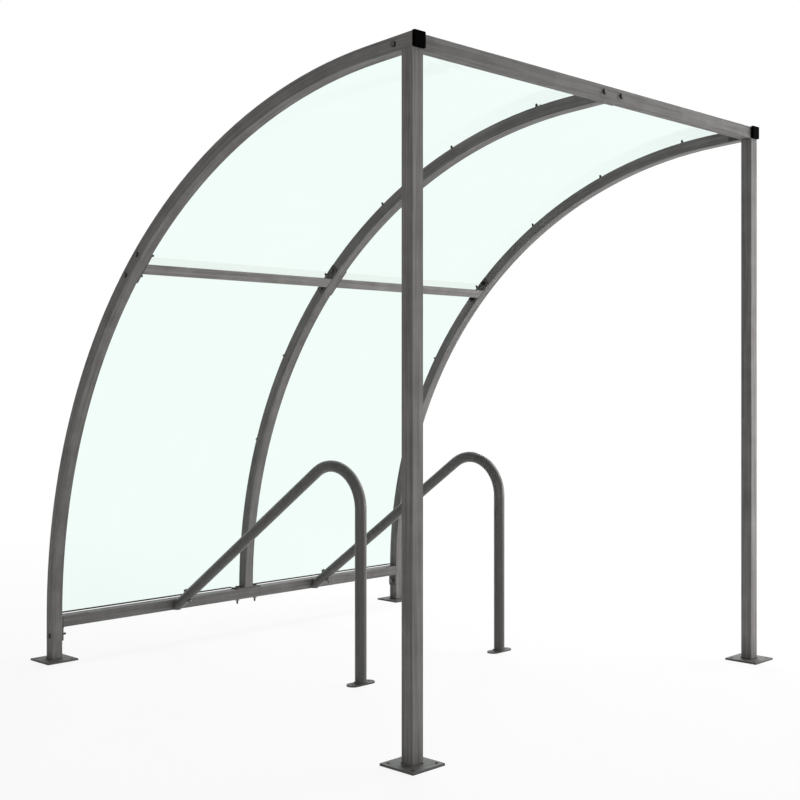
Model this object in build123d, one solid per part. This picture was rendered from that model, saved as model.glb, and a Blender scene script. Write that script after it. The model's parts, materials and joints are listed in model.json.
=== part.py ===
from build123d import *
from math import asin, cos, degrees, radians, sin, sqrt, tan
import os

# A two-bay bike shelter: three bent ribs carry clear sheets, two front posts hold the eaves beam,
# and two round cycle hoops stand between the open front and the bottom rail.
# +X runs along the shelter, +Y to its back, +Z up, with the origin on the ground under its middle.

# Driving dimensions in millimetres, angles in degrees

# Square tube of the posts, ribs, beam and bottom rail
tube_size = 50.0
tube_wall = 3.0
tube_corner_radius = 1.5

# Frame
bay_width = 1087.5
frame_depth = 2200.0
rib_bend_radius = 2147.0
roof_rise = 3.5
leg_height = 190.0
rail_height = 196.0

# Base plates under the posts and rear legs
base_plate_size = 150.0
base_plate_thickness = 8.0
base_hole_diameter = 14.0
base_hole_edge = 20.0

# Bolted joint plates
plate_thickness = 6.0
bolt_hole_diameter = 11.0
joint_plate_length = 150.0
joint_bolt_spacing = 112.0
joint_plate_setback = 4.0
end_plate_tail = 60.0
end_plate_bolt_edge = 25.0

# Flat mid rails between the ribs
mid_rail_angle = 45.35
mid_rail_width = 50.0
mid_rail_thickness = 5.0

# Plastic caps on the ribs' front ends
cap_lip = 2.0
cap_thickness = 11.0
cap_edge_radius = 2.5
cap_plug_depth = 22.0
cap_plug_clearance = 0.3

# Clear sheets
sheet_thickness = 4.0
sheet_joint_gap = 4.0
sheet_lap = 50.0
sheet_setback = 15.0

# Cycle hoops of round tube, with their ground flanges and the rail's spigots inside their ends
hoop_spacing = 885.0
hoop_tube_diameter = 48.3
hoop_tube_wall = 2.9
hoop_reach = 1268.0
hoop_slope = 34.8
hoop_end_height = 161.5
hoop_bend_radius = 172.0
hoop_bolt_reach = 105.0
flange_length = 140.0
flange_width = 56.0
flange_thickness = 6.0
flange_hole_spacing = 94.0
spigot_wall = 3.0
spigot_clearance = 0.3
spigot_tail = 48.0

# Overrun of cutting tools past the faces that they cut
overrun = 5.0

# Places worked out from the driving dimensions
half_tube = tube_size / 2
rib_inside_radius = rib_bend_radius - half_tube
rib_outside_radius = rib_bend_radius + half_tube
post_y = -frame_depth / 2
leg_y = frame_depth / 2
front_face_y = post_y - half_tube
beam_back_y = post_y + half_tube
bend_centre_y = leg_y - rib_bend_radius

# The bend ends at the roof's rise, or earlier and steeper where the beam's joint needs the straight run
run_start_y = beam_back_y + end_plate_tail
rise = max(radians(roof_rise), asin((run_start_y - bend_centre_y) / rib_bend_radius))
bend_turn = 90 - degrees(rise)
bend_end_y = bend_centre_y + rib_bend_radius * sin(rise)
bend_end_z = leg_height + rib_bend_radius * cos(rise)
forward = (0, -cos(rise), sin(rise))
backward = (0, cos(rise), -sin(rise))
rail_z = rail_height - half_tube
middle_foot_z = rail_height + plate_thickness
rail_front_y = leg_y - half_tube
joint_face_x = bay_width - half_tube
rib_places = {"left": -bay_width, "middle": 0.0, "right": bay_width}
end_sides = {"left": -1, "right": 1}
bend_axis = Axis((0, bend_centre_y, leg_height), (1, 0, 0))

parts = {}


def run_z(y):
    """The height of a rib's middle on its front run, which rises to the front."""
    return bend_end_z + (bend_end_y - y) * tan(rise)


# The beam's back edge lies just under the sheets on the ribs
beam_z = run_z(beam_back_y) + half_tube / cos(rise) - half_tube
post_top = beam_z - half_tube


def tube_face():
    """Hollow square section with its outer corners eased."""
    bore = tube_size - 2 * tube_wall
    return RectangleRounded(tube_size, tube_size, tube_corner_radius) - Rectangle(bore, bore)


def ring_face(outer_radius, inner_radius):
    """Hollow round section."""
    return Circle(outer_radius) - Circle(inner_radius)


def straight(face, start, direction, length):
    """A section drawn out from a start point along a direction, with its first axis along X."""
    across = (0, 1, 0) if abs(direction[0]) > 0 else (1, 0, 0)
    return extrude(Plane(origin=start, x_dir=across, z_dir=direction) * face, amount=length)


def block(low, high):
    """A plain box between two opposite corners."""
    size = [high[i] - low[i] for i in range(3)]
    middle = [(high[i] + low[i]) / 2 for i in range(3)]
    return Pos(*middle) * Box(*size)


def drill(centre, direction, depth, diameter):
    """A round cutter centred on a point, which reaches past both faces of what it cuts."""
    length = depth + 2 * overrun
    return Plane(origin=centre, z_dir=direction) * Cylinder(diameter / 2, length)


def on_bend(radius, angle):
    """The Y and Z of a point on the ribs' bend."""
    return (
        bend_centre_y + radius * cos(radians(angle)),
        leg_height + radius * sin(radians(angle)),
    )


def mid_joint_points():
    """The Y and Z of the two bolts that hold a mid rail to a rib's side."""
    middle_y, middle_z = on_bend(rib_bend_radius, mid_rail_angle)
    along_y = -sin(radians(mid_rail_angle))
    along_z = cos(radians(mid_rail_angle))
    reach = joint_bolt_spacing / 2
    return [(middle_y + s * reach * along_y, middle_z + s * reach * along_z) for s in (-1, 1)]


beam_bolt_y = beam_back_y + end_plate_tail - end_plate_bolt_edge
beam_bolt = (beam_bolt_y, run_z(beam_bolt_y))
rail_bolt = (leg_y, rail_z - half_tube - end_plate_tail + end_plate_bolt_edge)


# Front posts, and base plates under the posts and the rear legs

def base_plate(x, y):
    plate = block(
        (x - base_plate_size / 2, y - base_plate_size / 2, 0),
        (x + base_plate_size / 2, y + base_plate_size / 2, base_plate_thickness),
    )
    reach = base_plate_size / 2 - base_hole_edge
    for across in (-1, 1):
        for along in (-1, 1):
            centre = (x + across * reach, y + along * reach, base_plate_thickness / 2)
            plate -= drill(centre, (0, 0, 1), base_plate_thickness, base_hole_diameter)
    return plate


for side, sign in end_sides.items():
    end_x = sign * bay_width
    post_foot = (end_x, post_y, base_plate_thickness)
    post = straight(tube_face(), post_foot, (0, 0, 1), beam_z - base_plate_thickness)
    rib_room = straight(
        Rectangle(tube_size + 2 * overrun, tube_size),
        (end_x, bend_end_y, bend_end_z),
        forward,
        2 * (bend_end_y - post_y),
    )
    parts[f"front_post_{side}"] = post - rib_room
    parts[f"front_base_plate_{side}"] = base_plate(end_x, post_y)
    parts[f"rear_base_plate_{side}"] = base_plate(end_x, leg_y)


# Ribs: a leg, a bend of nearly a quarter turn and a straight run that rises to the front

def bent_rib(x, front_y):
    section = Pos(x, leg_y, leg_height) * tube_face()
    leg_foot = (x, leg_y, base_plate_thickness)
    rib = revolve(section, axis=bend_axis, revolution_arc=bend_turn)
    run_length = (bend_end_y - front_y) / cos(rise) + tube_size
    rib += straight(tube_face(), (x, bend_end_y, bend_end_z), forward, run_length)
    rib -= block(
        (x - tube_size, front_y - 2 * tube_size, run_z(front_y) - tube_size),
        (x + tube_size, front_y, run_z(front_y) + 2 * tube_size),
    )
    rib += straight(tube_face(), leg_foot, (0, 0, 1), leg_height - base_plate_thickness)
    for y, z in mid_joint_points():
        rib -= drill((x, y, z), (1, 0, 0), tube_size, bolt_hole_diameter)
    return rib


for side, sign in end_sides.items():
    end_x = sign * bay_width
    rib = bent_rib(end_x, front_face_y)
    for y, z in (beam_bolt, rail_bolt):
        rib -= drill((end_x, y, z), (1, 0, 0), tube_size, bolt_hole_diameter)
    parts[f"rib_{side}"] = rib

# The middle rib stops above the bottom rail and behind the eaves beam
under_middle_rib = block(
    (-tube_size, leg_y - tube_size, 0), (tube_size, leg_y + tube_size, middle_foot_z)
)
parts["rib_middle"] = bent_rib(0, beam_back_y + plate_thickness) - under_middle_rib


# Plastic end caps, each a rounded head with a plug inside the tube

def end_cap(x):
    head_size = tube_size + 2 * cap_lip
    plug_size = tube_size - 2 * tube_wall - 2 * cap_plug_clearance
    middle_z = run_z(front_face_y)
    head = straight(
        RectangleRounded(head_size, head_size, tube_corner_radius + cap_lip),
        (x, front_face_y, middle_z),
        (0, -1, 0),
        cap_thickness,
    )
    head = fillet(head.faces().sort_by(Axis.Y)[0].edges(), cap_edge_radius)
    plug_start_y = front_face_y - cap_thickness / 2
    plug = straight(
        Rectangle(plug_size, plug_size),
        (x, plug_start_y, run_z(plug_start_y)),
        backward,
        cap_thickness / 2 + cap_plug_depth,
    )
    return head + plug


for side, sign in end_sides.items():
    parts[f"rib_end_cap_{side}"] = end_cap(sign * bay_width)


# Eaves beam with its end plates, and the middle rib's head plate behind it

beam_half_length = joint_face_x - plate_thickness
beam = straight(tube_face(), (-beam_half_length, post_y, beam_z), (1, 0, 0), 2 * beam_half_length)
head_plate = block(
    (-joint_plate_length / 2, beam_back_y, post_top),
    (joint_plate_length / 2, beam_back_y + plate_thickness, beam_z + half_tube - joint_plate_setback),
)
for sign in end_sides.values():
    bolt_x = sign * joint_bolt_spacing / 2
    beam -= drill((bolt_x, post_y, beam_z), (0, 1, 0), tube_size, bolt_hole_diameter)
    head_plate -= drill((bolt_x, beam_back_y, beam_z), (0, 1, 0), plate_thickness, bolt_hole_diameter)
parts["front_beam"] = beam
parts["middle_rib_head_plate"] = head_plate


def side_plate(sign, low_y, low_z, high_y, high_z, holes):
    """A plate on the bay side of an end rib, drilled for the bolts through that rib."""
    near = sign * joint_face_x
    far = sign * (joint_face_x - plate_thickness)
    plate = block((min(near, far), low_y, low_z), (max(near, far), high_y, high_z))
    for y, z in holes:
        plate -= drill((near, y, z), (1, 0, 0), plate_thickness, bolt_hole_diameter)
    return plate


end_plate_back_y = beam_back_y + end_plate_tail
for side, sign in end_sides.items():
    parts[f"front_beam_end_plate_{side}"] = side_plate(
        sign,
        front_face_y,
        post_top,
        end_plate_back_y,
        run_z(end_plate_back_y) + half_tube - joint_plate_setback,
        [beam_bolt],
    )


# Bottom rail with its end plates, and the middle rib's foot plate on top of it

rail = straight(tube_face(), (-beam_half_length, leg_y, rail_z), (1, 0, 0), 2 * beam_half_length)
foot_plate = block(
    (-joint_plate_length / 2, leg_y - half_tube, rail_height),
    (joint_plate_length / 2, leg_y + half_tube, middle_foot_z),
)
for sign in end_sides.values():
    bolt_x = sign * joint_bolt_spacing / 2
    rail -= drill((bolt_x, leg_y, rail_z), (0, 0, 1), tube_size, bolt_hole_diameter)
    foot_plate -= drill((bolt_x, leg_y, rail_height), (0, 0, 1), plate_thickness, bolt_hole_diameter)
parts["bottom_rail"] = rail
parts["middle_rib_foot_plate"] = foot_plate

for side, sign in end_sides.items():
    parts[f"bottom_rail_end_plate_{side}"] = side_plate(
        sign,
        leg_y - half_tube,
        rail_z - half_tube - end_plate_tail,
        leg_y + half_tube,
        rail_height,
        [rail_bolt],
    )


# Mid rails: a flat bar in each bay, flush with the ribs' inner faces, with a plate on each end

along_bend = (0, -sin(radians(mid_rail_angle)), cos(radians(mid_rail_angle)))


def mid_rail(low_x, high_x):
    y, z = on_bend(rib_inside_radius + mid_rail_thickness / 2, mid_rail_angle)
    section = Rectangle(mid_rail_width, mid_rail_thickness)
    start = Plane(origin=(low_x, y, z), x_dir=along_bend, z_dir=(1, 0, 0))
    return extrude(start * section, amount=high_x - low_x)


def mid_plate(low_x):
    """A straight plate, flush with the rib's inner face and set back from the sheets at its ends."""
    corner_radius = rib_outside_radius - joint_plate_setback
    width = sqrt(corner_radius**2 - (joint_plate_length / 2) ** 2) - rib_inside_radius
    y, z = on_bend(rib_inside_radius + width / 2, mid_rail_angle)
    start = Plane(origin=(low_x, y, z), x_dir=along_bend, z_dir=(1, 0, 0))
    plate = extrude(start * Rectangle(joint_plate_length, width), amount=plate_thickness)
    for hole_y, hole_z in mid_joint_points():
        plate -= drill((low_x, hole_y, hole_z), (1, 0, 0), plate_thickness, bolt_hole_diameter)
    return plate


for side, low_rib in (("left", "left"), ("right", "middle")):
    bay_low = rib_places[low_rib] + half_tube
    bay_high = bay_low + bay_width - tube_size
    parts[f"mid_rail_{side}"] = mid_rail(bay_low + plate_thickness, bay_high - plate_thickness)
    outer_first = side == "left"
    first, second = ("outer", "inner") if outer_first else ("inner", "outer")
    parts[f"mid_rail_{side}_{first}_plate"] = mid_plate(bay_low)
    parts[f"mid_rail_{side}_{second}_plate"] = mid_plate(bay_high - plate_thickness)


# Clear sheets on the ribs' outer faces; the upper sheet laps over the lower one at the mid rail

lap_half_angle = degrees(sheet_lap / 2 / rib_outside_radius)
lower_sheet_end_angle = mid_rail_angle + lap_half_angle
upper_sheet_end_angle = mid_rail_angle - lap_half_angle
lap_radius = rib_outside_radius + sheet_thickness

# The upper sheet leaves the ribs where their bend ends and just clears the lower sheet's upper edge
lap_edge_turn = radians(bend_turn - lower_sheet_end_angle)
lap_edge_along = lap_radius * sin(lap_edge_turn)
lap_edge_drop = rib_outside_radius - lap_radius * cos(lap_edge_turn)
upper_sheet_radius = (lap_edge_along**2 + lap_edge_drop**2) / (2 * lap_edge_drop)
upper_end_along = lap_radius * sin(radians(bend_turn - upper_sheet_end_angle))
upper_sheet_sweep = degrees(asin(upper_end_along / upper_sheet_radius))
upper_centre_y, upper_centre_z = on_bend(rib_outside_radius - upper_sheet_radius, bend_turn)

sheet_width = bay_width - sheet_joint_gap
sheet_front_y = front_face_y + sheet_setback

for side, sign in end_sides.items():
    middle_x = sign * bay_width / 2
    edge = Rectangle(sheet_width, sheet_thickness)
    low_middle = (middle_x, leg_y + half_tube + sheet_thickness / 2, leg_height)
    lower_sheet = revolve(Pos(*low_middle) * edge, axis=bend_axis, revolution_arc=lower_sheet_end_angle)
    lower_sheet += straight(edge, low_middle, (0, 0, -1), leg_height)
    parts[f"lower_sheet_{side}"] = lower_sheet - block(
        (middle_x - sheet_width, leg_y, -overrun),
        (middle_x + sheet_width, leg_y + tube_size, middle_foot_z),
    )
    top_y, top_z = on_bend(rib_outside_radius + sheet_thickness / 2, bend_turn)
    top_edge = Plane(origin=(middle_x, top_y, top_z), x_dir=(1, 0, 0), z_dir=forward) * edge
    upper_axis = Axis((middle_x, upper_centre_y, upper_centre_z), (-1, 0, 0))
    parts[f"upper_sheet_{side}"] = revolve(
        top_edge, axis=upper_axis, revolution_arc=upper_sheet_sweep
    ) + extrude(top_edge, amount=(top_y - sheet_front_y) / cos(rise))


# Cycle hoops: an upright, one bend and a slope down to a spigot on the bottom rail, held by one bolt

hoop_radius = hoop_tube_diameter / 2
hoop_bore_radius = hoop_radius - hoop_tube_wall
hoop_leg_y = rail_front_y - hoop_reach
slope = radians(hoop_slope)
down_slope = (0, cos(slope), -sin(slope))
square_to_slope = (0, sin(slope), cos(slope))
slope_top_z = hoop_end_height + hoop_reach * tan(slope)
hoop_bend_z = slope_top_z - hoop_bend_radius * (tan(slope) + 1 / cos(slope))
hoop_bend_y = hoop_leg_y + hoop_bend_radius
slope_start_y = hoop_bend_y + hoop_bend_radius * sin(slope)
slope_length = (rail_front_y - slope_start_y) / cos(slope)


def flange():
    """An obround plate with a bolt hole near each end, drawn flat."""
    plate = SlotOverall(flange_length, flange_width)
    for sign in end_sides.values():
        plate -= Pos(sign * flange_hole_spacing / 2, 0) * Circle(bolt_hole_diameter / 2)
    return plate


def on_slope(x, length):
    """A point on the axis of a hoop's slope, so far up from the bottom rail's front face."""
    return (x, rail_front_y - length * cos(slope), hoop_end_height + length * sin(slope))


def mitred_slope(x, outer_radius, inner_radius, length):
    """A round tube down the slope that ends on the bottom rail's front face, no lower than the rail."""
    past_face = outer_radius * tan(slope) + overrun
    section = ring_face(outer_radius, inner_radius)
    tube = straight(section, on_slope(x, length), down_slope, length + past_face)
    reach = 2 * hoop_tube_diameter
    rail_bottom = rail_height - tube_size
    tube -= block(
        (x - reach, rail_front_y, rail_z - reach), (x + reach, rail_front_y + reach, rail_z + reach)
    )
    tube -= block(
        (x - reach, rail_front_y - reach, rail_bottom - reach), (x + reach, rail_front_y, rail_bottom)
    )
    bolt_place = on_slope(x, hoop_bolt_reach)
    return tube - drill(bolt_place, square_to_slope, hoop_tube_diameter, bolt_hole_diameter)


def cycle_hoop(x):
    section = ring_face(hoop_radius, hoop_bore_radius)
    foot = (x, hoop_leg_y, flange_thickness)
    hoop = straight(section, foot, (0, 0, 1), hoop_bend_z - flange_thickness)
    bend_start = Pos(x, hoop_leg_y, hoop_bend_z) * section
    hoop_axis = Axis((x, hoop_bend_y, hoop_bend_z), (-1, 0, 0))
    hoop += revolve(bend_start, axis=hoop_axis, revolution_arc=90 + hoop_slope)
    return hoop + mitred_slope(x, hoop_radius, hoop_bore_radius, slope_length)


def hoop_spigot(x):
    """A short tube on the bottom rail that slides into a hoop's lower end."""
    outer_radius = hoop_bore_radius - spigot_clearance
    return mitred_slope(x, outer_radius, outer_radius - spigot_wall, hoop_bolt_reach + spigot_tail)


for side, sign in end_sides.items():
    hoop_x = sign * hoop_spacing / 2
    parts[f"cycle_hoop_{side}"] = cycle_hoop(hoop_x)
    foot = (hoop_x, hoop_leg_y, 0)
    parts[f"hoop_flange_{side}"] = straight(flange(), foot, (0, 0, 1), flange_thickness)
    parts[f"hoop_spigot_{side}"] = hoop_spigot(hoop_x)


os.makedirs("parts", exist_ok=True)
for name, solid in parts.items():
    export_step(solid, f"parts/{name}.step")
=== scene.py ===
"""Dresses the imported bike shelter: powder-coated frame, clear sheets, bolts, welds, stage and camera.

The frame's solids stay where they are. Every length is in metres, in the frame's own axes:
+X along the shelter, +Y to its back, +Z up, with the origin on the ground under its middle.
"""

import json
import math
import bmesh
import bpy
from bpy.props import FloatProperty, FloatVectorProperty, IntProperty, PointerProperty
from mathutils import Matrix, Vector


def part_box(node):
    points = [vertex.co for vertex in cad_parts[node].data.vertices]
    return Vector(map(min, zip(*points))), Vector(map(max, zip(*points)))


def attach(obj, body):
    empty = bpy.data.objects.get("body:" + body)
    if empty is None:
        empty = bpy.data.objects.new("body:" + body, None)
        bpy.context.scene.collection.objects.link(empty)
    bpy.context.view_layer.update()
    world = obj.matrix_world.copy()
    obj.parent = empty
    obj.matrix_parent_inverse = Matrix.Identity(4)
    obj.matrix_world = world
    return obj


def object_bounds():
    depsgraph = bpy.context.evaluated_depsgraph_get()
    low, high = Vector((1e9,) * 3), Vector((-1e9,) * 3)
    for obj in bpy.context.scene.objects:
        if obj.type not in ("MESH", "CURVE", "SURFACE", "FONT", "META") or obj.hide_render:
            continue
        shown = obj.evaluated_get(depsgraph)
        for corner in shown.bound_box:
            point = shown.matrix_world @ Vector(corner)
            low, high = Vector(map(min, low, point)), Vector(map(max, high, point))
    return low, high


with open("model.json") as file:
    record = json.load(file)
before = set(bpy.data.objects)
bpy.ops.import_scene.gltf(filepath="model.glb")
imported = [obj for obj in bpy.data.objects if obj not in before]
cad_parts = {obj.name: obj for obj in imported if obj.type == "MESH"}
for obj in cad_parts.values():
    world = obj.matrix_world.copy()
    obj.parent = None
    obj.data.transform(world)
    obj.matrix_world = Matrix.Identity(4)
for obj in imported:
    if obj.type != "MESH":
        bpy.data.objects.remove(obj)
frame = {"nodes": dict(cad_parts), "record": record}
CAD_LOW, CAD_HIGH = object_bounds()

bl_info = {
    "name": "Bike shelter",
    "version": (1, 0, 0),
    "blender": (4, 5, 0),
    "location": "3D View > Sidebar > Shelter",
    "description": "Adds finishes, fasteners, welds and a studio to a two-bay bike shelter",
    "category": "Object",
}

MM = 0.001
STEEL_SLOT = "painted_steel"
PLATE_SLOT = "painted_plate"
SHEET_SLOT = "clear_sheet"
CAP_SLOT = "black_plastic"


def linear(hex_code):
    """An sRGB hex colour as the linear red, green, blue and alpha that shaders use."""
    channels = [int(hex_code[i : i + 2], 16) / 255 for i in (0, 2, 4)]
    curve = [c / 12.92 if c <= 0.04045 else ((c + 0.055) / 1.055) ** 2.4 for c in channels]
    return (*curve, 1.0)


# Places read from the frame

BEAM_LOW, BEAM_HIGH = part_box("front_beam")
RAIL_LOW, RAIL_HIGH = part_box("bottom_rail")
RIB_LOW, RIB_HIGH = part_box("rib_left")
HEAD_PLATE_LOW, HEAD_PLATE_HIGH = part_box("middle_rib_head_plate")
_, FOOT_PLATE_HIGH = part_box("middle_rib_foot_plate")
_, BASE_PLATE_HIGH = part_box("rear_base_plate_left")
HOOP_LOW, HOOP_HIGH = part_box("cycle_hoop_right")
FLANGE_LOW, FLANGE_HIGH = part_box("hoop_flange_right")
SHEET_LOW, SHEET_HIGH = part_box("lower_sheet_right")
ROOF_SHEET_LOW, ROOF_SHEET_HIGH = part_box("upper_sheet_right")

TUBE = RIB_HIGH.x - RIB_LOW.x
PLATE = HEAD_PLATE_HIGH.y - HEAD_PLATE_LOW.y
BEAM_Z = (BEAM_LOW.z + BEAM_HIGH.z) / 2
POST_Y = (BEAM_LOW.y + BEAM_HIGH.y) / 2
LEG_Y = (RAIL_LOW.y + RAIL_HIGH.y) / 2
END_RIB_X = -(RIB_LOW.x + RIB_HIGH.x) / 2
HOOP_X = (HOOP_LOW.x + HOOP_HIGH.x) / 2
HOOP_RADIUS = (HOOP_HIGH.x - HOOP_LOW.x) / 2
HOOP_LEG_Y = (FLANGE_LOW.y + FLANGE_HIGH.y) / 2

# Sizes of the part's source that its boxes don't give
BEND_START_Z = 0.190
BEND_RADIUS = 2.147
BEND_CENTRE = Vector((0, LEG_Y - BEND_RADIUS, BEND_START_Z))
ROOF_RISE = math.radians(3.5)
JOINT_BOLT_SPACING = 0.112
END_PLATE_BOLT_REACH = 0.035
MID_RAIL_ANGLE = math.radians(45.35)
HOOP_SLOPE = math.radians(34.8)
HOOP_END_Z = 0.1615
HOOP_BOLT_REACH = 0.105
TUBE_CORNER = 0.0015
SHEET_THICKNESS = 0.004


# Settings that a user would change


class ShelterFinish(bpy.types.PropertyGroup):
    """Colours and grain of the finishes."""

    coat: FloatVectorProperty(
        name="Powder coat",
        description="Main colour of the powder-coated steel",
        subtype="COLOR",
        size=4,
        min=0,
        max=1,
        default=linear("7a7876"),
    )
    coat_shade: FloatVectorProperty(
        name="Coat streaks",
        description="Darker colour of the streaks that run along the steel",
        subtype="COLOR",
        size=4,
        min=0,
        max=1,
        default=linear("5e5b59"),
    )
    sheet_tint: FloatVectorProperty(
        name="Sheet tint",
        description="Colour of light that has passed through a clear sheet",
        subtype="COLOR",
        size=4,
        min=0,
        max=1,
        default=linear("f3fefa"),
    )
    lap_tint: FloatVectorProperty(
        name="Lap tint",
        description="Colour of light that has passed through one sheet where two sheets lap",
        subtype="COLOR",
        size=4,
        min=0,
        max=1,
        default=linear("f5faf7"),
    )
    streak_width: FloatProperty(
        name="Streak width",
        description="Width of one streak in the coat, across the steel",
        unit="LENGTH",
        default=11 * MM,
        min=1 * MM,
    )
    streak_length: FloatProperty(
        name="Streak length",
        description="Length of one streak in the coat, along the steel",
        unit="LENGTH",
        default=420 * MM,
        min=10 * MM,
    )


class ShelterFasteners(bpy.types.PropertyGroup):
    """Sizes of the bolts, the sheets' fixings and the weld beads."""

    thread: FloatProperty(
        name="Bolt thread",
        description="Outer diameter of the bolts' thread",
        unit="LENGTH",
        default=10 * MM,
        min=4 * MM,
    )
    pitch: FloatProperty(
        name="Thread pitch",
        description="Distance from one turn of the thread to the next",
        unit="LENGTH",
        default=1.5 * MM,
        min=0.5 * MM,
    )
    across_flats: FloatProperty(
        name="Across flats",
        description="Width of the hexagon of heads and nuts",
        unit="LENGTH",
        default=17 * MM,
        min=6 * MM,
    )
    washer: FloatProperty(
        name="Washer diameter",
        description="Outer diameter of the bolts' washers",
        unit="LENGTH",
        default=21 * MM,
        min=8 * MM,
    )
    tail: FloatProperty(
        name="Thread end",
        description="How far a bolt stands out on its nut's side",
        unit="LENGTH",
        default=25 * MM,
        min=12 * MM,
    )
    cap: FloatProperty(
        name="Fixing cap",
        description="Diameter of the domed cap nuts that hold the sheets",
        unit="LENGTH",
        default=10 * MM,
        min=4 * MM,
    )
    cap_height: FloatProperty(
        name="Fixing height",
        description="How far a domed cap nut stands out from its sheet",
        unit="LENGTH",
        default=13 * MM,
        min=3 * MM,
    )
    cap_offset: FloatProperty(
        name="Fixing offset",
        description="Distance of a fixing from the middle of its rib",
        unit="LENGTH",
        default=13 * MM,
    )
    strip: FloatProperty(
        name="Edge strip",
        description="Height of the rubber strip on a sheet's lower edge",
        unit="LENGTH",
        default=6 * MM,
        min=4 * MM,
    )
    weld_leg: FloatProperty(
        name="Weld leg",
        description="Height of a weld bead on the tube and its width on the plate",
        unit="LENGTH",
        default=4 * MM,
        min=1 * MM,
    )
    sides: IntProperty(
        name="Sides",
        description="Number of sides of a round; a multiple of 12 keeps the hexagons sharp",
        default=36,
        min=12,
    )


class ShelterStage(bpy.types.PropertyGroup):
    """The studio's floor and camera."""

    floor: FloatVectorProperty(
        name="Floor",
        description="Colour of the floor",
        subtype="COLOR",
        size=4,
        min=0,
        max=1,
        default=linear("f2f2f2"),
    )
    floor_size: FloatProperty(
        name="Floor size",
        description="Length of the square floor's sides",
        unit="LENGTH",
        default=120.0,
    )
    camera_place: FloatVectorProperty(
        name="Camera",
        description="Where the camera stands",
        subtype="TRANSLATION",
        default=(-4.0571, -3.9310, 1.2501),
    )
    camera_turn: FloatProperty(
        name="Camera turn",
        description="Turn of the level camera away from the back, towards the left bay when positive",
        unit="ROTATION",
        default=math.radians(-45.516),
    )
    lens: FloatProperty(
        name="Lens",
        description="Focal length in millimetres on a 36 mm wide sensor",
        default=57.07,
    )


class ShelterSettings(bpy.types.PropertyGroup):
    """All settings of the bike shelter."""

    finish: PointerProperty(type=ShelterFinish)
    fasteners: PointerProperty(type=ShelterFasteners)
    stage: PointerProperty(type=ShelterStage)


# Materials


def add(tree, kind, settings=None, inputs=None, links=None):
    """Adds a node with its settings, its inputs' values and the links into it."""
    node = tree.nodes.new("ShaderNode" + kind)
    for name, value in (settings or {}).items():
        setattr(node, name, value)
    for name, value in (inputs or {}).items():
        node.inputs[name].default_value = value
    for name, source in (links or {}).items():
        tree.links.new(source, node.inputs[name])
    return node


def new_material(name):
    """An empty node material and its tree."""
    material = bpy.data.materials.new(name)
    material.use_nodes = True
    material.node_tree.nodes.clear()
    return material, material.node_tree


def finish_material(tree, inputs, links):
    """Ends a tree in one principled shader."""
    shader = add(tree, "BsdfPrincipled", inputs=inputs, links=links)
    add(tree, "OutputMaterial", links={"Surface": shader.outputs["BSDF"]})


def bend_coordinates(tree):
    """A place's angle on the ribs' bend, and its X, radius and angle as one vector."""
    place = add(tree, "TexCoord").outputs["Object"]
    from_centre = add(
        tree, "VectorMath", {"operation": "SUBTRACT"}, {1: BEND_CENTRE}, {0: place}
    ).outputs["Vector"]
    split = add(tree, "SeparateXYZ", links={"Vector": from_centre}).outputs
    flat = add(
        tree, "VectorMath", {"operation": "MULTIPLY"}, {1: (0, 1, 1)}, {0: from_centre}
    ).outputs["Vector"]
    radius = add(tree, "VectorMath", {"operation": "LENGTH"}, links={0: flat}).outputs["Value"]
    angle = add(tree, "Math", {"operation": "ARCTAN2"}, links={0: split["Z"], 1: split["Y"]}).outputs[0]
    joined = add(tree, "CombineXYZ", links={"X": split["X"], "Y": radius, "Z": angle}).outputs["Vector"]
    return angle, joined


def streak_coordinates(tree, run, finish):
    """Places in units of one streak: X, Y or Z runs along that axis, bend follows the ribs' curve."""
    across, along = 1 / finish.streak_width, 1 / finish.streak_length
    if run == "bend":
        _, place = bend_coordinates(tree)
        scale = (across, across, along * BEND_RADIUS)
    else:
        place = add(tree, "TexCoord").outputs["Object"]
        scale = [along if axis == run else across for axis in "XYZ"]
    return add(tree, "Mapping", inputs={"Scale": scale}, links={"Vector": place}).outputs["Vector"]


# The clouds' share of the coat's pattern, the rest being streaks, and how much rougher a dark streak is
CLOUD_SHARE = 0.3
STREAK_ROUGHNESS = 0.08


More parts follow.
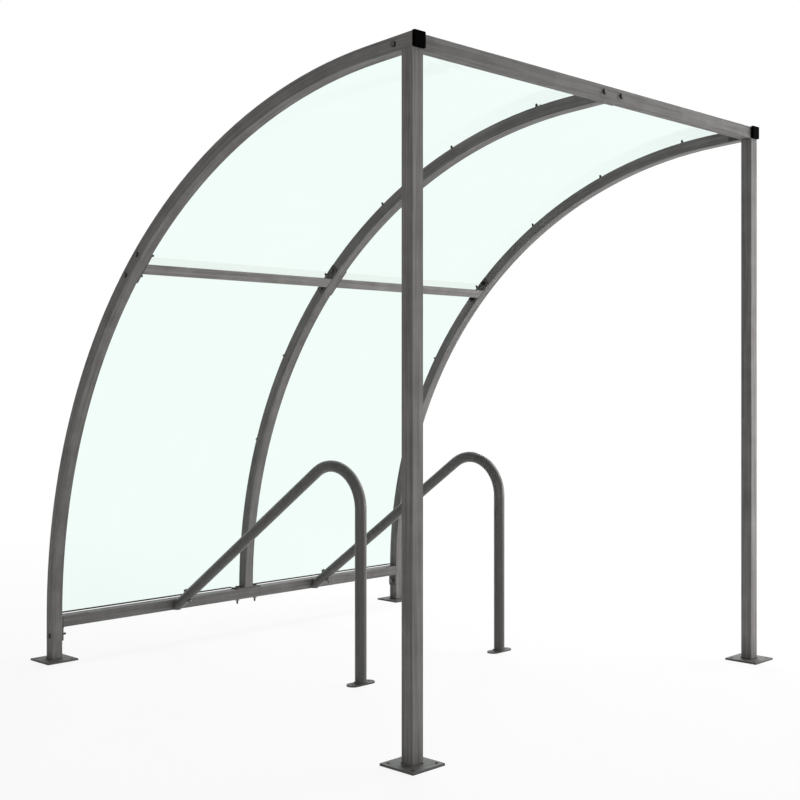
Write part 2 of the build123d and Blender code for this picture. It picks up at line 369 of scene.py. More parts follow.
def powder_coat(name, finish, run, shade=1.0, drawn=1.0, rough=0.52):
    """Polyester powder coat, baked on mild steel.

    It gives the eye a satin dark grey with a soft highlight, streaks from the drawn tube under it
    and the slight orange peel of the melted powder. Rolled plate has a smaller drawn share.
    """
    material, tree = new_material(name)
    streaks = add(
        tree,
        "TexNoise",
        inputs={"Scale": 1.0, "Detail": 3.0, "Roughness": 0.6},
        links={"Vector": streak_coordinates(tree, run, finish)},
    ).outputs["Fac"]
    place = add(tree, "TexCoord").outputs["Object"]
    # Cloudy patches about 90 mm across, from the spray gun's passes
    clouds = add(
        tree, "TexNoise", inputs={"Scale": 1 / (90 * MM), "Detail": 2.0}, links={"Vector": place}
    ).outputs["Fac"]
    cloudy = add(tree, "Math", {"operation": "MULTIPLY"}, {1: CLOUD_SHARE}, {0: clouds}).outputs[0]
    blend = add(
        tree, "Math", {"operation": "MULTIPLY_ADD"}, {1: 1 - CLOUD_SHARE}, {0: streaks, 2: cloudy}
    ).outputs[0]
    ramp = add(
        tree, "MapRange", inputs={"From Min": 0.36, "From Max": 0.64}, links={"Value": blend}
    ).outputs["Result"]
    # The shade scales both colours: a shade other than 1 is painted light or painted shade, a lit or
    # shaded copy of the one coat
    light = [shade * c for c in finish.coat[:3]]
    dark = [shade * c for c in finish.coat_shade[:3]]
    dark = [top + drawn * (low - top) for top, low in zip(light, dark)]
    colour = add(
        tree, "Mix", {"data_type": "RGBA"}, {6: (*dark, 1.0), 7: (*light, 1.0)}, {0: ramp}
    ).outputs[2]
    roughness = add(
        tree,
        "MapRange",
        inputs={"To Min": rough + STREAK_ROUGHNESS, "To Max": rough},
        links={"Value": ramp},
    ).outputs["Result"]
    # Orange peel is about 1.5 mm from crest to crest; drawn at 5 mm so that it shows at all
    peel = add(
        tree, "TexNoise", inputs={"Scale": 1 / (5 * MM), "Detail": 1.0}, links={"Vector": place}
    ).outputs["Fac"]
    bump = add(
        tree, "Bump", inputs={"Strength": 0.06, "Distance": 0.04 * MM}, links={"Height": peel}
    ).outputs["Normal"]
    # The resin's index is 1.5; the photo's coat mirrors its white surroundings less than that gives
    gloss = {"IOR": 1.5, "Specular IOR Level": 0.25}
    finish_material(tree, gloss, {"Base Color": colour, "Roughness": roughness, "Normal": bump})
    return material


# The waves' darkest tint beside the sheet's own
WAVE_SHADE = 0.985


def clear_sheet(finish):
    """Extruded polyester sheet, 4 mm thick.

    It is clear and smooth with a pale green cast, and shows little but the slow waves that the
    extruder's rolls leave. The sheet's own index is about 1.57; the photo shows no mirror image
    in it, so the index is matched down until none can be seen.
    """
    material, tree = new_material("Clear polyester sheet")
    place = add(tree, "TexCoord").outputs["Object"]
    # Waves from the rolls, about 260 mm apart
    waves = add(
        tree, "TexNoise", inputs={"Scale": 1 / (260 * MM), "Detail": 1.0}, links={"Vector": place}
    ).outputs["Fac"]
    tint = add(
        tree,
        "Mix",
        {"data_type": "RGBA"},
        {6: finish.sheet_tint, 7: [WAVE_SHADE * c for c in finish.sheet_tint[:3]] + [1.0]},
        {0: waves},
    ).outputs[2]
    # Two sheets in a row would look a deeper green, which the photo's lap does not
    lap_start = math.atan2(ROOF_SHEET_LOW.z - BEND_CENTRE.z, ROOF_SHEET_HIGH.y - BEND_CENTRE.y)
    lap_end = math.atan2(SHEET_HIGH.z - BEND_CENTRE.z, SHEET_LOW.y - BEND_CENTRE.y)
    angle, _ = bend_coordinates(tree)
    lapped = add(
        tree,
        "Math",
        {"operation": "COMPARE"},
        {1: (lap_start + lap_end) / 2, 2: (lap_end - lap_start) / 2},
        {0: angle},
    ).outputs[0]
    tint = add(
        tree, "Mix", {"data_type": "RGBA"}, {7: finish.lap_tint}, {0: lapped, 6: tint}
    ).outputs[2]
    bump = add(
        tree, "Bump", inputs={"Strength": 0.05, "Distance": 0.5 * MM}, links={"Height": waves}
    ).outputs["Normal"]
    shader_values = {"Roughness": 0.02, "IOR": 1.04, "Transmission Weight": 1.0}
    sheet = add(
        tree, "BsdfPrincipled", inputs=shader_values, links={"Base Color": tint, "Normal": bump}
    ).outputs["BSDF"]
    # Lamplight passes straight through, which keeps the grain of bent light off the steel behind;
    # each of the sheet's two faces takes half of the tint
    half = add(tree, "Gamma", inputs={"Gamma": 0.5}, links={"Color": tint}).outputs["Color"]
    clear = add(tree, "BsdfTransparent", links={"Color": half}).outputs["BSDF"]
    shadow = add(tree, "LightPath").outputs["Is Shadow Ray"]
    mixed = add(tree, "MixShader", links={0: shadow, 1: sheet, 2: clear}).outputs["Shader"]
    add(tree, "OutputMaterial", links={"Surface": mixed})
    return material


def moulded_plastic():
    """Low-density polyethylene, injection moulded, for the ribs' end caps.

    It is a deep matt black with a fine even grain from the mould.
    """
    material, tree = new_material("Moulded black polyethylene")
    place = add(tree, "TexCoord").outputs["Object"]
    # Mould grain is about 0.5 mm; drawn at 3 mm so that it shows at all
    grain = add(
        tree, "TexNoise", inputs={"Scale": 1 / (3 * MM), "Detail": 2.0}, links={"Vector": place}
    ).outputs["Fac"]
    colour = add(
        tree, "Mix", {"data_type": "RGBA"}, {6: linear("010101"), 7: linear("040404")}, {0: grain}
    ).outputs[2]
    rough = add(
        tree, "MapRange", inputs={"To Min": 0.6, "To Max": 0.72}, links={"Value": grain}
    ).outputs["Result"]
    bump = add(
        tree, "Bump", inputs={"Strength": 0.15, "Distance": 0.1 * MM}, links={"Height": grain}
    ).outputs["Normal"]
    # The photo's caps show no gloss at all, so the mirror share is matched far down
    gloss = {"IOR": 1.51, "Specular IOR Level": 0.005}
    finish_material(tree, gloss, {"Base Color": colour, "Roughness": rough, "Normal": bump})
    return material


# How much rougher the plating is where it clouds
PLATING_CLOUD_ROUGHNESS = 0.15


def plated_steel(name, light, dark, roughness):
    """Zinc-plated steel, passivated, for bolts, nuts and washers.

    It is a dull metal whose plating clouds from crystal to crystal.
    """
    material, tree = new_material(name)
    place = add(tree, "TexCoord").outputs["Object"]
    # Clouds in the plating, about 4 mm across
    clouds = add(
        tree, "TexNoise", inputs={"Scale": 1 / (4 * MM), "Detail": 3.0}, links={"Vector": place}
    ).outputs["Fac"]
    colour = add(
        tree, "Mix", {"data_type": "RGBA"}, {6: linear(dark), 7: linear(light)}, {0: clouds}
    ).outputs[2]
    rough = add(
        tree,
        "MapRange",
        inputs={"To Min": roughness, "To Max": roughness + PLATING_CLOUD_ROUGHNESS},
        links={"Value": clouds},
    ).outputs["Result"]
    finish_material(tree, {"Metallic": 1.0}, {"Base Color": colour, "Roughness": rough})
    return material


def seal_rubber():
    """EPDM rubber, moulded, for the washers under the sheets' fixings and the sheets' edge strips.

    It is a dusty matt black without any highlight.
    """
    material, tree = new_material("Moulded EPDM rubber")
    place = add(tree, "TexCoord").outputs["Object"]
    # Bloom on the rubber, in spots about 2 mm across
    bloom = add(
        tree, "TexNoise", inputs={"Scale": 1 / (2 * MM), "Detail": 2.0}, links={"Vector": place}
    ).outputs["Fac"]
    colour = add(
        tree, "Mix", {"data_type": "RGBA"}, {6: linear("131313"), 7: linear("242322")}, {0: bloom}
    ).outputs[2]
    finish_material(tree, {"Roughness": 0.85, "IOR": 1.52}, {"Base Color": colour})
    return material


# Meshes


def turned_to(place, axis):
    """A matrix that stands local +Z along an axis at a place."""
    turn = Vector(axis).to_track_quat("Z", "Y").to_matrix().to_4x4()
    return Matrix.Translation(place) @ turn


def turn_rings(mesh, matrix, rings, sides, across_flats=0.0, slot=0):
    """A closed turned form from rings of radius and height; a hexagon cuts it where flats are given."""
    loops = []
    for radius, height in rings:
        loop = []
        for i in range(sides):
            angle = 2 * math.pi * i / sides
            reach = radius
            if across_flats:
                from_flat = (angle + math.pi / 6) % (math.pi / 3) - math.pi / 6
                reach = min(radius, across_flats / 2 / math.cos(from_flat))
            point = Vector((reach * math.cos(angle), reach * math.sin(angle), height))
            loop.append(mesh.verts.new(matrix @ point))
        loops.append(loop)
    faces = [mesh.faces.new(list(reversed(loops[0]))), mesh.faces.new(loops[-1])]
    for low, high in zip(loops, loops[1:]):
        for i in range(sides):
            j = (i + 1) % sides
            faces.append(mesh.faces.new((low[i], low[j], high[j], high[i])))
    for face in faces:
        face.material_index = slot
        face.smooth = True


# Edges that turn further than this stay sharp
SHARP_ANGLE = math.radians(32)


def add_piece(name, mesh, materials):
    """Turns a built mesh into a piece that rides on the frame."""
    bmesh.ops.recalc_face_normals(mesh, faces=mesh.faces)
    data = bpy.data.meshes.new(name)
    mesh.to_mesh(data)
    mesh.free()
    data.set_sharp_from_angle(angle=SHARP_ANGLE)
    for material in materials:
        data.materials.append(material)
    piece = bpy.data.objects.new(name, data)
    bpy.context.scene.collection.objects.link(piece)
    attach(piece, "root")


def coat_node(name, material):
    """Gives a solid of the frame its finish."""
    slots = frame["nodes"][name].data.materials
    slots.clear()
    slots.append(material)


# Heights of a bolt's washers, head and nut beside its thread's diameter
WASHER_SHARE = 0.2
HEAD_SHARE = 0.64
NUT_SHARE = 0.8
# A washer's pressed edge beside its thickness
WASHER_EDGE_SHARE = 0.15
# The crown of a head or nut beside its flats, and its bevel beside the head's height
CROWN_SHARE = 0.47
BEVEL_SHARE = 0.14
# The thread's depth beside its pitch, and its end beside its root
THREAD_DEPTH_SHARE = 0.6
THREAD_END_SHARE = 0.8


def washer_rings(outer, thickness):
    """A flat washer's outline with its pressed edge."""
    edge = WASHER_EDGE_SHARE * thickness
    return [
        (outer / 2 - edge, 0),
        (outer / 2, edge),
        (outer / 2, thickness - edge),
        (outer / 2 - edge, thickness),
    ]


def bolt(mesh, seat, axis, grip, sizes):
    """A hexagon bolt: washer and head at the seat, and washer, nut and thread end across the grip."""
    axis = Vector(axis).normalized()
    seat = Vector(seat)
    washer = WASHER_SHARE * sizes.thread
    head = HEAD_SHARE * sizes.thread
    nut = NUT_SHARE * sizes.thread
    flats = sizes.across_flats
    corner = flats / math.sqrt(3)
    crown = CROWN_SHARE * flats
    bevel = BEVEL_SHARE * head
    near = turned_to(seat, axis)
    far = turned_to(seat - axis * grip, -axis)
    for matrix in (near, far):
        turn_rings(mesh, matrix, washer_rings(sizes.washer, washer), sizes.sides)
    head_rings = [
        (crown, washer),
        (corner, washer + bevel / 2),
        (corner, washer + head - bevel),
        (crown, washer + head),
    ]
    nut_rings = [
        (crown, washer),
        (corner, washer + bevel),
        (corner, washer + nut - bevel),
        (crown, washer + nut),
    ]
    turn_rings(mesh, near, head_rings, sizes.sides, flats)
    turn_rings(mesh, far, nut_rings, sizes.sides, flats, slot=1)
    crest, root = sizes.thread / 2, sizes.thread / 2 - THREAD_DEPTH_SHARE * sizes.pitch
    thread = []
    height = washer + nut
    while height < sizes.tail - sizes.pitch:
        thread += [(root, height), (crest, height + sizes.pitch / 2)]
        height += sizes.pitch
    thread += [(root, height), (THREAD_END_SHARE * root, sizes.tail)]
    turn_rings(mesh, far, thread, sizes.sides // 2, slot=1)


# A fixing's rubber washer beside its cap's height and width, and the straight part of the cap's rise
RUBBER_HEIGHT_SHARE = 0.15
RUBBER_WIDTH_SHARE = 1.3
SKIRT_SHARE = 0.6
DOME_STEPS = 6


def domed_fixing(mesh, seat, axis, sizes):
    """A sheet fixing: a rubber washer under a domed cap."""
    matrix = turned_to(seat, axis)
    rubber = RUBBER_HEIGHT_SHARE * sizes.cap_height
    washer = washer_rings(RUBBER_WIDTH_SHARE * sizes.cap, rubber)
    turn_rings(mesh, matrix, washer, sizes.sides, slot=1)
    radius, rise = sizes.cap / 2, sizes.cap_height - rubber
    skirt = SKIRT_SHARE * rise
    dome = [(radius, rubber), (radius, rubber + skirt)]
    for i in range(1, DOME_STEPS):
        turn = math.pi / 2 * i / DOME_STEPS
        dome.append((radius * math.cos(turn), rubber + skirt + (rise - skirt) * math.sin(turn)))
    turn_rings(mesh, matrix, dome, sizes.sides)


# The distance from one point of a bead to the next, four of them to a ripple
RIPPLE_STEP = 0.0011
# A ripple's height and the depth that a bead sinks into its corner, beside its leg
RIPPLE_SHARE = 0.12
SINK_SHARE = 0.1
BEAD_STEPS = 4


def weld_bead(mesh, path, closed, leg):
    """A rippled fillet bead along a path.

    Each point of the path comes with its way out from the tube and its way up from the plate.
    """
    sections = []
    for i, (point, out, up) in enumerate(path):
        swell = leg * (1 + RIPPLE_SHARE * math.sin(i * math.pi / 2))
        section = []
        for j in range(BEAD_STEPS + 1):
            turn = math.pi / 2 * j / BEAD_STEPS
            section.append(mesh.verts.new(point + swell * (math.cos(turn) * out + math.sin(turn) * up)))
        section.append(mesh.verts.new(point - SINK_SHARE * leg * (out + up)))
        sections.append(section)
    count = len(sections)
    for i in range(count if closed else count - 1):
        here, there = sections[i], sections[(i + 1) % count]
        for j in range(len(here)):
            k = (j + 1) % len(here)
            mesh.faces.new((here[j], here[k], there[k], there[j])).smooth = True
    if not closed:
        mesh.faces.new(list(reversed(sections[0])))
        mesh.faces.new(sections[-1])


def straight_path(start, end, out, up):
    """The path of a weld along a straight corner."""
    start, end = Vector(start), Vector(end)
    steps = max(2, int((end - start).length / RIPPLE_STEP))
    return [(start.lerp(end, i / steps), Vector(out), Vector(up)) for i in range(steps + 1)]


def square_path(centre, size, corner):
    """The path of a weld round a square tube that stands on a plate."""
    flat = size / 2 - corner
    path = []
    up = Vector((0, 0, 1))
    for quarter in range(4):
        turn = Matrix.Rotation(quarter * math.pi / 2, 3, "Z")
        steps = int(2 * flat / RIPPLE_STEP)
        for i in range(steps):
            point = Vector((size / 2, -flat + 2 * flat * i / steps, 0))
            path.append((centre + turn @ point, turn @ Vector((1, 0, 0)), up))
        bend = max(2, int(corner * math.pi / 2 / RIPPLE_STEP))
        for i in range(bend):
            angle = math.pi / 2 * i / bend
            out = Vector((math.cos(angle), math.sin(angle), 0))
            path.append((centre + turn @ (Vector((flat, flat, 0)) + corner * out), turn @ out, up))
    return path


def round_path(centre, radius):
    """The path of a weld round a round tube that stands on a plate."""
    steps = 4 * int(2 * math.pi * radius / RIPPLE_STEP / 4)
    path = []
    for i in range(steps):
        angle = 2 * math.pi * i / steps
        out = Vector((math.cos(angle), math.sin(angle), 0))
        path.append((centre + radius * out, out, Vector((0, 0, 1))))
    return path


def on_bend(x, radius, angle):
    """A point on the ribs' bend."""
    return BEND_CENTRE + Vector((x, radius * math.cos(angle), radius * math.sin(angle)))


def run_z(y):
    """The height of a rib's middle on its front run, which rises to the front."""
    bend_end = on_bend(0, BEND_RADIUS, math.pi / 2 - ROOF_RISE)
    return bend_end.z + (bend_end.y - y) * math.tan(ROOF_RISE)


MATERIALS = {}


def bolt_materials():
    """The head side and the nut side of a bolt."""
    return [MATERIALS["dark_zinc"], MATERIALS["zinc"]]


# Operators


# Name of each coat, the way its streaks run, its shade beside the main colour as matched to the photo,
# how much of the streaks shows and its roughness
# A shade other than 1 is painted light or painted shade on a copy of the one coat
COATS = {
    "post": {"name": "Powder-coated post steel", "run": "Z"},
    # The beam and rails are painted darker than the posts: painted shade
    "rail": {"name": "Powder-coated rail steel with painted shade", "run": "X", "shade": 0.84},
    "rib": {"name": "Powder-coated rib steel", "run": "bend"},
    # The mid rails are painted lighter than the tubes: painted light
    "bar": {"name": "Powder-coated flat bar with painted light", "run": "X", "shade": 1.3},
    # The hoops are painted darker than the posts: painted shade
    "hoop": {"name": "Powder-coated hoop steel with painted shade", "run": "Z", "shade": 0.55, "drawn": 0.6, "rough": 0.3},
    # The base plates, and the weld beads that share their coat, are painted darker: painted shade
    "base": {"name": "Powder-coated base plate with painted shade", "run": "X", "shade": 0.46, "drawn": 0.35},
    # The joint, head, foot and end plates are painted darker: painted shade from the shadow round the
    # joints
    "plate": {"name": "Powder-coated joint plate with painted shade", "run": "X", "shade": 0.42, "drawn": 0.35},
    # The hoops' flanges are painted near black: painted shade
    "flange": {"name": "Powder-coated flange with painted shade", "run": "X", "shade": 0.36, "drawn": 0.35},
}

# The coat of each node, by its slot and a word in its name; the last row of a slot takes the rest
COATED_NODES = (
    (PLATE_SLOT, "base_plate", "base"),
    (PLATE_SLOT, "flange", "flange"),
    (PLATE_SLOT, "", "plate"),
    (STEEL_SLOT, "front_post", "post"),
    (STEEL_SLOT, "rib", "rib"),
    (STEEL_SLOT, "cycle_hoop", "hoop"),
    (STEEL_SLOT, "mid_rail", "bar"),
    (STEEL_SLOT, "", "rail"),
)

# Name, lighter and darker colour, and roughness of each plating
PLATINGS = {
    "black_zinc": ("Black zinc-plated steel", "2a2a2b", "161616", 0.4),
    # The bolts' heads are given a darker plating than their nuts and thread ends
    "dark_zinc": ("Darker zinc-plated steel", "55544f", "3b3a38", 0.35),
    "zinc": ("Zinc-plated steel", "8c8b87", "666562", 0.35),
}


class SHELTER_OT_coat_steel(bpy.types.Operator):
    """Powder-coats the posts, ribs, rails, hoops and plates"""

    bl_idname = "shelter.coat_steel"
    bl_label = "Coat steel"

    def execute(self, context):
        finish = context.scene.bike_shelter.finish
        coats = {kind: powder_coat(finish=finish, **coat) for kind, coat in COATS.items()}
        MATERIALS["base"] = coats["base"]
        for kind, plating in PLATINGS.items():
            MATERIALS[kind] = plated_steel(*plating)
        MATERIALS["rubber"] = seal_rubber()
        for row in frame["record"]["subparts"]:
            for slot, word, kind in COATED_NODES:
                if row["material_slot"] == slot and word in row["node"]:
                    coat_node(row["node"], coats[kind])
                    break
        return {"FINISHED"}


class SHELTER_OT_glaze(bpy.types.Operator):
    """Makes the sheets clear and the end caps black plastic"""

    bl_idname = "shelter.glaze"
    bl_label = "Glaze and cap"

    def execute(self, context):
        sheet = clear_sheet(context.scene.bike_shelter.finish)
        cap = moulded_plastic()
        for row in frame["record"]["subparts"]:
            if row["material_slot"] == SHEET_SLOT:
                coat_node(row["node"], sheet)
            elif row["material_slot"] == CAP_SLOT:
                coat_node(row["node"], cap)
        return {"FINISHED"}


class SHELTER_OT_bolt_frame(bpy.types.Operator):
    """Bolts the beam, the rails and the middle rib to the frame"""

    bl_idname = "shelter.bolt_frame"
    bl_label = "Bolt frame"

    def execute(self, context):
        sizes = context.scene.bike_shelter.fasteners
        reach = JOINT_BOLT_SPACING / 2
        grip = TUBE + PLATE
        outer = END_RIB_X + TUBE / 2
        inner = TUBE / 2 + PLATE

        mesh = bmesh.new()
        for x in (-reach, reach):
            bolt(mesh, (x, BEAM_LOW.y, BEAM_Z), (0, -1, 0), grip, sizes)
        add_piece("beam_middle_bolts", mesh, bolt_materials())

        mesh = bmesh.new()
        for x in (-reach, reach):
            bolt(mesh, (x, LEG_Y, FOOT_PLATE_HIGH.z), (0, 0, 1), grip, sizes)
        add_piece("middle_rib_foot_bolts", mesh, bolt_materials())

        beam_y = BEAM_HIGH.y + END_PLATE_BOLT_REACH
        rail_z = RAIL_LOW.z - END_PLATE_BOLT_REACH
        for side, sign in (("left", -1), ("right", 1)):
            for joint, y, z in (("beam", beam_y, run_z(beam_y)), ("rail", LEG_Y, rail_z)):
                mesh = bmesh.new()
                bolt(mesh, (sign * outer, y, z), (sign, 0, 0), grip, sizes)
                add_piece(f"{joint}_end_bolt_{side}", mesh, bolt_materials())

        along = Vector((0, -math.sin(MID_RAIL_ANGLE), math.cos(MID_RAIL_ANGLE)))
        # The mid rails' nuts take the black plating: painted shade from the ribs round them
        bolt_plating_in_painted_shade = [MATERIALS["dark_zinc"], MATERIALS["black_zinc"]]
        for side, face, way, length in (
            ("left", -outer, -1, grip),
            ("middle", -inner, -1, 2 * inner),
            ("right", outer, 1, grip),
        ):
            mesh = bmesh.new()
            for end in (-reach, reach):
                seat = on_bend(face, BEND_RADIUS, MID_RAIL_ANGLE) + end * along
                bolt(mesh, seat, (way, 0, 0), length, sizes)
            add_piece(f"mid_rail_bolts_{side}", mesh, bolt_plating_in_painted_shade)
        return {"FINISHED"}


class SHELTER_OT_bolt_hoops(bpy.types.Operator):
    """Puts a bolt through each hoop's lower end and the spigot inside it"""

    bl_idname = "shelter.bolt_hoops"
    bl_label = "Bolt hoops"

    def execute(self, context):
        sizes = context.scene.bike_shelter.fasteners
        square = Vector((0, math.sin(HOOP_SLOPE), math.cos(HOOP_SLOPE)))
        up_slope = Vector((0, -math.cos(HOOP_SLOPE), math.sin(HOOP_SLOPE)))
        for side, x in (("left", -HOOP_X), ("right", HOOP_X)):
            middle = Vector((x, RAIL_LOW.y, HOOP_END_Z)) + HOOP_BOLT_REACH * up_slope
            mesh = bmesh.new()
            bolt(mesh, middle + HOOP_RADIUS * square, square, 2 * HOOP_RADIUS, sizes)
            add_piece(f"hoop_bolt_{side}", mesh, bolt_materials())
        return {"FINISHED"}


# Places of the sheets' fixings in degrees up the bend, from the front edge to the lowest
FIXING_ANGLES = (82.6, 70.2, 58.0, 45.35, 32.6, 20.4)


class SHELTER_OT_fix_sheets(bpy.types.Operator):
    """Fixes the sheets to the ribs with domed caps on rubber washers"""

    bl_idname = "shelter.fix_sheets"
    bl_label = "Fix sheets"

    def execute(self, context):
        sizes = context.scene.bike_shelter.fasteners
        offset = sizes.cap_offset
        for side, places in (
            ("left", [("left", -END_RIB_X + offset)]),
            ("middle", [("left", -offset), ("right", offset)]),
            ("right", [("right", END_RIB_X - offset)]),
        ):
            mesh = bmesh.new()
            for bay, x in places:
                for degrees in FIXING_ANGLES:
                    domed_fixing(mesh, *self.seat(bay, x, math.radians(degrees)), sizes)
            materials = [MATERIALS["black_zinc"], MATERIALS["rubber"]]
            add_piece(f"sheet_fixings_{side}", mesh, materials)
        return {"FINISHED"}

    def seat(self, bay, x, angle):
        """The place and the way out on a sheet's outer face, found from outside it."""
        outside = on_bend(x, BEND_RADIUS + TUBE, angle)
        inwards = (on_bend(x, 0, angle) - outside).normalized()
        hits = []
        for sheet in (f"upper_sheet_{bay}", f"lower_sheet_{bay}"):
            hit, place, normal, _ = frame["nodes"][sheet].ray_cast(outside, inwards)
            if hit:
                hits.append(((place - outside).length, place, normal))
        if not hits:
            raise RuntimeError(f"no sheet under the fixing at {math.degrees(angle):.1f} degrees")
        _, place, normal = min(hits, key=lambda found: found[0])
        return place, normal


# The strip's wall beside its height, and its eased corners beside its wall
STRIP_WALL_SHARE = 1 / 5
STRIP_EASE_SHARE = 1 / 3


class SHELTER_OT_edge_sheets(bpy.types.Operator):
    """Pushes a rubber edge strip onto the lower edge of each lower sheet"""

    bl_idname = "shelter.edge_sheets"
    bl_label = "Edge sheets"

    def execute(self, context):
        height = context.scene.bike_shelter.fasteners.strip
        wall = STRIP_WALL_SHARE * height
        edge_z, inside_y = SHEET_LOW.z, LEG_Y + TUBE / 2
        outside_y = inside_y + SHEET_THICKNESS
        low, high = edge_z - 2 * wall, edge_z + height - 2 * wall
        ease = STRIP_EASE_SHARE * wall
        outline = [
            (inside_y - wall + ease, low),
            (outside_y + wall - ease, low),
            (outside_y + wall, low + ease),
            (outside_y + wall, high - ease),
            (outside_y + ease, high),
            (outside_y, high - ease),
            (outside_y, edge_z),
            (inside_y, edge_z),
            (inside_y, high - ease),
            (inside_y - ease, high),
            (inside_y - wall, high - ease),
            (inside_y - wall, low + ease),
        ]
        for side, sign in (("left", -1), ("right", 1)):
            mesh = bmesh.new()
            ends = (sign * FOOT_PLATE_HIGH.x, sign * (END_RIB_X - TUBE / 2))
            start, end = [[mesh.verts.new((x, y, z)) for y, z in outline] for x in ends]
            mesh.faces.new(start)
            mesh.faces.new(list(reversed(end)))
            for i in range(len(outline)):
                j = (i + 1) % len(outline)
                mesh.faces.new((start[i], start[j], end[j], end[i]))
            add_piece(f"sheet_edge_strip_{side}", mesh, [MATERIALS["rubber"]])
        return {"FINISHED"}


class SHELTER_OT_weld(bpy.types.Operator):
    """Lays the weld beads of the base plates, flanges and joint plates"""

    bl_idname = "shelter.weld"
    bl_label = "Weld"

    def execute(self, context):
        leg = context.scene.bike_shelter.fasteners.weld_leg
        # The beads take the base plates' coat with its painted shade
        coat = [MATERIALS["base"]]
        half = TUBE / 2 - TUBE_CORNER
        for side, sign in (("left", -1), ("right", 1)):
            for place, y in (("front", POST_Y), ("rear", LEG_Y)):
                mesh = bmesh.new()
                centre = Vector((sign * END_RIB_X, y, BASE_PLATE_HIGH.z))
                weld_bead(mesh, square_path(centre, TUBE, TUBE_CORNER), True, leg)
                add_piece(f"{place}_base_weld_{side}", mesh, coat)

            mesh = bmesh.new()
            centre = Vector((sign * HOOP_X, HOOP_LEG_Y, FLANGE_HIGH.z))
            weld_bead(mesh, round_path(centre, HOOP_RADIUS), True, leg)
            add_piece(f"hoop_weld_{side}", mesh, coat)

            end = sign * RAIL_HIGH.x
            inwards = (-sign, 0, 0)
            back = BEAM_HIGH.y
            mesh = bmesh.new()
            run = straight_path((end, back, BEAM_Z - half), (end, back, BEAM_Z + half), (0, 1, 0), inwards)
            weld_bead(mesh, run, False, leg)
            low = RAIL_LOW.z
            run = straight_path((end, LEG_Y - half, low), (end, LEG_Y + half, low), (0, 0, -1), inwards)
            weld_bead(mesh, run, False, leg)
            add_piece(f"rail_end_weld_{side}", mesh, coat)

        mesh = bmesh.new()
        for sign in (-1, 1):
            side = sign * TUBE / 2
            out = (sign, 0, 0)
            back, top = HEAD_PLATE_HIGH.y, FOOT_PLATE_HIGH.z
            low, high = HEAD_PLATE_LOW.z + leg, HEAD_PLATE_HIGH.z - leg
            run = straight_path((side, back, low), (side, back, high), out, (0, 1, 0))
            weld_bead(mesh, run, False, leg)
            run = straight_path((side, LEG_Y - half, top), (side, LEG_Y + half, top), out, (0, 0, 1))
            weld_bead(mesh, run, False, leg)
        add_piece("middle_rib_welds", mesh, coat)
        return {"FINISHED"}


# Name, place, width and height, and watts of each lamp; they leave the left sides darker than the front
LAMPS = (
    ("top_softbox", (6.0, -1.0, 6.5), (7.0, 7.0), 430),
    ("side_softbox", (7.0, -2.5, 3.2), (6.0, 6.0), 180),
    ("low_softbox", (5.0, -4.2, 0.9), (5.0, 1.7), 200),
    ("fill_softbox", (-6.0, -3.5, 2.2), (4.0, 4.0), 95),
    ("rim_softbox", (6.0, 6.0, 8.5), (5.0, 4.0), 520),
    ("edge_softbox", (6.0, 3.0, 5.0), (1.6, 1.6), 120),
)


# The camera's sensor in millimetres, its shift in picture widths and how far it sees
SENSOR_WIDTH = 36
CAMERA_SHIFT = (0.0082, -0.0260)
CAMERA_SIGHT = 500
# How far from the middle the floor begins and ends to turn all white, and its white share near by
FLOOR_NEAR = 2.0
FLOOR_FAR = 6.0
NEAR_WHITE_SHARE = 0.88
# The scuffs' darkest colour beside the floor's own
SCUFF_SHADE = 0.99
# The white surroundings' light on the object, beside how white they look
WORLD_LIGHT_SHARE = 0.08


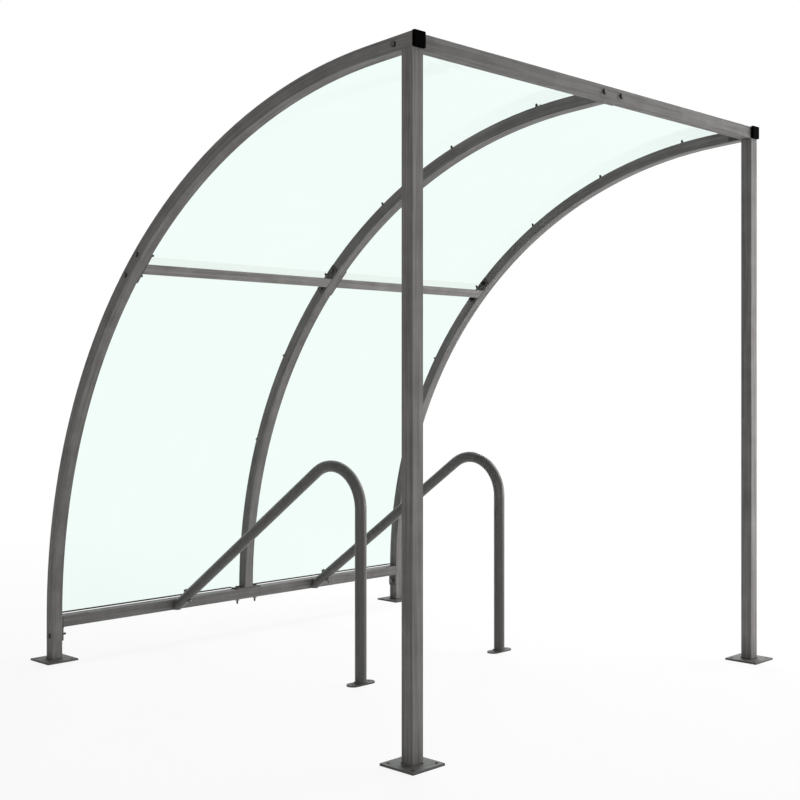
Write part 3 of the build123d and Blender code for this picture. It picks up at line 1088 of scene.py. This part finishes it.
class SHELTER_OT_set_stage(bpy.types.Operator):
    """Sets the floor, the lamps, the white background and the camera"""

    bl_idname = "shelter.set_stage"
    bl_label = "Set stage"

    def execute(self, context):
        scene = context.scene
        stage = scene.bike_shelter.stage
        scene.view_settings.view_transform = "Standard"
        self.floor(scene, stage)
        self.world(scene)
        for name, place, size, power in LAMPS:
            self.lamp(scene, name, place, size, power)
        data = bpy.data.cameras.new("camera")
        data.sensor_width = SENSOR_WIDTH
        data.lens = stage.lens
        data.shift_x, data.shift_y = CAMERA_SHIFT
        data.clip_end = CAMERA_SIGHT
        camera = bpy.data.objects.new("camera", data)
        camera.location = stage.camera_place
        camera.rotation_euler = (math.pi / 2, 0, stage.camera_turn)
        scene.collection.objects.link(camera)
        scene.camera = camera
        return {"FINISHED"}

    def seen(self, tree):
        """1 where a camera, mirror or see-through ray looks, and 0 for the light on the object."""
        path = add(tree, "LightPath").outputs
        mirror = add(
            tree,
            "Math",
            {"operation": "MAXIMUM"},
            links={0: path["Is Camera Ray"], 1: path["Is Glossy Ray"]},
        ).outputs[0]
        looks = add(
            tree,
            "Math",
            {"operation": "MAXIMUM"},
            links={0: mirror, 1: path["Is Transmission Ray"]},
        ).outputs[0]
        # A ray that has left a matt surface carries light to the object, even through a sheet
        first = add(
            tree, "Math", {"operation": "LESS_THAN"}, {1: 0.5}, {0: path["Diffuse Depth"]}
        ).outputs[0]
        return add(tree, "Math", {"operation": "MULTIPLY"}, links={0: looks, 1: first}).outputs[0]

    def floor(self, scene, stage):
        """A matt white studio floor, which shows white and keeps the object's shadow."""
        mesh = bmesh.new()
        bmesh.ops.create_grid(mesh, x_segments=1, y_segments=1, size=stage.floor_size / 2)
        data = bpy.data.meshes.new("floor")
        mesh.to_mesh(data)
        mesh.free()
        material, tree = new_material("Matt white studio floor")
        place = add(tree, "TexCoord").outputs["Object"]
        # Scuffs about 400 mm across, far too faint to read as a pattern
        scuffs = add(
            tree, "TexNoise", inputs={"Scale": 1 / (400 * MM)}, links={"Vector": place}
        ).outputs["Fac"]
        colour = add(
            tree,
            "Mix",
            {"data_type": "RGBA"},
            {6: stage.floor, 7: [SCUFF_SHADE * c for c in stage.floor[:3]] + [1.0]},
            {0: scuffs},
        ).outputs[2]
        paint = add(tree, "BsdfDiffuse", links={"Color": colour}).outputs["BSDF"]
        white = add(tree, "Emission", inputs={"Strength": 1.0}).outputs["Emission"]
        # Near the object a share of the painted floor shows, so its shadow does; far off all is white
        away = add(tree, "VectorMath", {"operation": "LENGTH"}, links={0: place}).outputs["Value"]
        whiteness = add(
            tree,
            "MapRange",
            {"interpolation_type": "SMOOTHSTEP"},
            {"From Min": FLOOR_NEAR, "From Max": FLOOR_FAR, "To Min": NEAR_WHITE_SHARE, "To Max": 1.0},
            {"Value": away},
        ).outputs["Result"]
        share = add(
            tree, "Math", {"operation": "MULTIPLY"}, links={0: whiteness, 1: self.seen(tree)}
        ).outputs[0]
        mixed = add(tree, "MixShader", links={0: share, 1: paint, 2: white}).outputs["Shader"]
        add(tree, "OutputMaterial", links={"Surface": mixed})
        data.materials.append(material)
        floor = bpy.data.objects.new("floor", data)
        scene.collection.objects.link(floor)

    def world(self, scene):
        """White to look at, and a softer light on the object."""
        world = bpy.data.worlds.new("Studio white")
        world.use_nodes = True
        tree = world.node_tree
        tree.nodes.clear()
        strength = add(
            tree,
            "MapRange",
            inputs={"To Min": WORLD_LIGHT_SHARE, "To Max": 1.0},
            links={"Value": self.seen(tree)},
        ).outputs["Result"]
        white = add(
            tree, "Background", inputs={"Color": (1, 1, 1, 1)}, links={"Strength": strength}
        ).outputs["Background"]
        add(tree, "OutputWorld", links={"Surface": white})
        scene.world = world

    def lamp(self, scene, name, place, size, power):
        """A soft rectangular lamp that faces the shelter."""
        data = bpy.data.lights.new(name, "AREA")
        data.shape = "RECTANGLE"
        data.size, data.size_y = size
        data.energy = power
        lamp = bpy.data.objects.new(name, data)
        # A look through a sheet shows the white behind a lamp, not the lamp
        lamp.visible_transmission = False
        middle = (CAD_LOW + CAD_HIGH) / 2
        lamp.matrix_world = turned_to(Vector(place), Vector(place) - middle)
        scene.collection.objects.link(lamp)


class SHELTER_PT_sidebar(bpy.types.Panel):
    """Lists the shelter's settings and steps"""

    bl_label = "Bike shelter"
    bl_idname = "SHELTER_PT_sidebar"
    bl_space_type = "VIEW_3D"
    bl_region_type = "UI"
    bl_category = "Shelter"

    def draw(self, context):
        settings = context.scene.bike_shelter
        for group in (settings.finish, settings.fasteners, settings.stage):
            box = self.layout.box()
            for name in group.bl_rna.properties.keys():
                if name not in ("rna_type", "name"):
                    box.prop(group, name)
        for step in STEPS:
            self.layout.operator(step.bl_idname)


STEPS = (
    SHELTER_OT_coat_steel,
    SHELTER_OT_glaze,
    SHELTER_OT_bolt_frame,
    SHELTER_OT_bolt_hoops,
    SHELTER_OT_fix_sheets,
    SHELTER_OT_edge_sheets,
    SHELTER_OT_weld,
    SHELTER_OT_set_stage,
)
GROUPS = (ShelterFinish, ShelterFasteners, ShelterStage, ShelterSettings)


def register():
    for group in GROUPS + STEPS + (SHELTER_PT_sidebar,):
        bpy.utils.register_class(group)
    bpy.types.Scene.bike_shelter = PointerProperty(type=ShelterSettings)


def unregister():
    del bpy.types.Scene.bike_shelter
    for group in reversed(GROUPS + STEPS + (SHELTER_PT_sidebar,)):
        bpy.utils.unregister_class(group)


def main():
    register()
    bpy.ops.shelter.coat_steel()
    bpy.ops.shelter.glaze()
    bpy.ops.shelter.bolt_frame()
    bpy.ops.shelter.bolt_hoops()
    bpy.ops.shelter.fix_sheets()
    bpy.ops.shelter.edge_sheets()
    bpy.ops.shelter.weld()
    bpy.ops.shelter.set_stage()
    bpy.context.view_layer.update()


if __name__ == "__main__":
    main()
